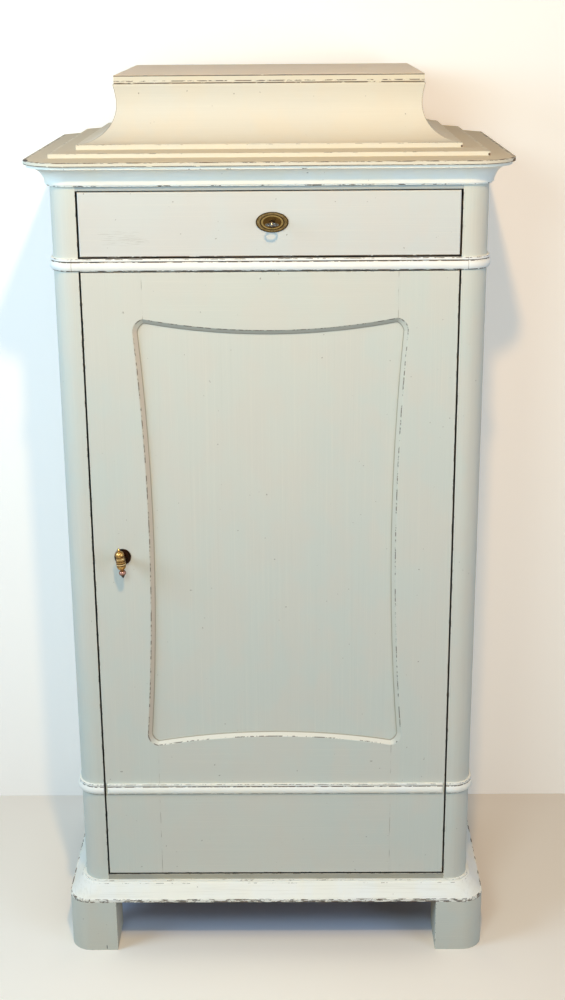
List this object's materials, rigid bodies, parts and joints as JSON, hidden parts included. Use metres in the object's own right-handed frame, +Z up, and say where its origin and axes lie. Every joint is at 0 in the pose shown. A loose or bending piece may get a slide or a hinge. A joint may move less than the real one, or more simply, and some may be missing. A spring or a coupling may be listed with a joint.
{
  "type": "bonnetiere cabinet",
  "caption": "Narrow painted cupboard on block feet, with a panelled door on pivot hinges, a turn latch, a locking drawer over the door and a coved hood on the cornice.",
  "frame": {"origin": "on the floor under the middle of the whole cabinet", "axes": "+Z up, the door and drawer face -Y, +X is to the right as seen from the front"},
  "size_m": [0.735, 0.5, 1.458],
  "materials": {
    "body_paint": "chalky pale grey paint, brushed, a little worn",
    "moulding_paint": "off-white paint rubbed to brown wood on edges",
    "raw_wood": "bare old pine",
    "brass": "aged brass",
    "bronze": "dark bronzed",
    "iron": "dull iron"
  },
  "bodies": {
    "case": {"post_left": "body_paint", "post_right": "body_paint", "side_left": "body_paint", "side_right": "body_paint", "top_rail": "body_paint", "mid_rail": "body_paint", "case_bottom": "body_paint", "foot_front_left": "body_paint", "foot_front_right": "body_paint", "feet_back": "body_paint", "hood_cove_front": "body_paint", "hood_cove_left": "body_paint", "hood_cove_right": "body_paint", "hood_top": "body_paint", "base_moulding_front": "moulding_paint", "base_moulding_left": "moulding_paint", "base_moulding_right": "moulding_paint", "post_band_left": "moulding_paint", "post_band_right": "moulding_paint", "mid_moulding_front": "moulding_paint", "mid_moulding_left": "moulding_paint", "mid_moulding_right": "moulding_paint", "cornice_moulding_front": "moulding_paint", "cornice_moulding_left": "moulding_paint", "cornice_moulding_right": "moulding_paint", "cornice_board": "moulding_paint", "hood_step_lower": "moulding_paint", "hood_step_upper": "moulding_paint", "back_boards": "raw_wood", "case_top": "raw_wood", "dust_board": "raw_wood", "drawer_runners": "raw_wood", "drawer_stops": "raw_wood", "shelf_1": "raw_wood", "shelf_2": "raw_wood", "shelf_3": "raw_wood", "shelf_cleats": "raw_wood", "hood_back": "raw_wood", "hinge_plates": "iron", "strike_plates": "iron"},
    "door": {"door_stile_left": "body_paint", "door_stile_right": "body_paint", "door_top_rail": "body_paint", "door_bottom_rail": "body_paint", "door_panel": "body_paint", "panel_beads": "raw_wood", "door_band": "moulding_paint", "hinge_sockets": "iron", "latch_rosette": "bronze"},
    "latch": {"latch_handle": "brass", "latch_tongue": "iron"},
    "drawer": {"drawer_front": "body_paint", "drawer_side_left": "raw_wood", "drawer_side_right": "raw_wood", "drawer_back": "raw_wood", "drawer_bottom": "raw_wood", "escutcheon": "brass", "lock_case": "iron"},
    "bolt": {"lock_bolt": "iron"},
    "key": {"drawer_key": "iron"}
  },
  "joints": [
    {"name": "door_swing", "type": "hinge", "parent": "case", "child": "door", "pos_m": [0.2697, -0.2045, 0.1374], "axis": [0, 0, 1], "range_deg": [0, 100]},
    {"name": "latch_turn", "type": "hinge", "parent": "door", "child": "latch", "pos_m": [-0.2403, -0.2125, 0.7185], "axis": [0, 1, 0], "range_deg": [0, 90]},
    {"name": "drawer_slide", "type": "slide", "parent": "case", "child": "drawer", "axis": [0, -1, 0], "range_m": [0, 0.3]},
    {"name": "key_turn", "type": "hinge", "parent": "drawer", "child": "key", "pos_m": [0.0043, -0.2125, 1.2498], "axis": [0, 1, 0], "range_deg": [0, 90]},
    {"name": "bolt_lift", "type": "slide", "parent": "drawer", "child": "bolt", "axis": [0, 0, 1], "range_m": [0, 0.008]}
  ],
  "couplings": [
    {"joint": "key_turn", "follows": "bolt_lift", "rad_per_m": 196.3}
  ]
}
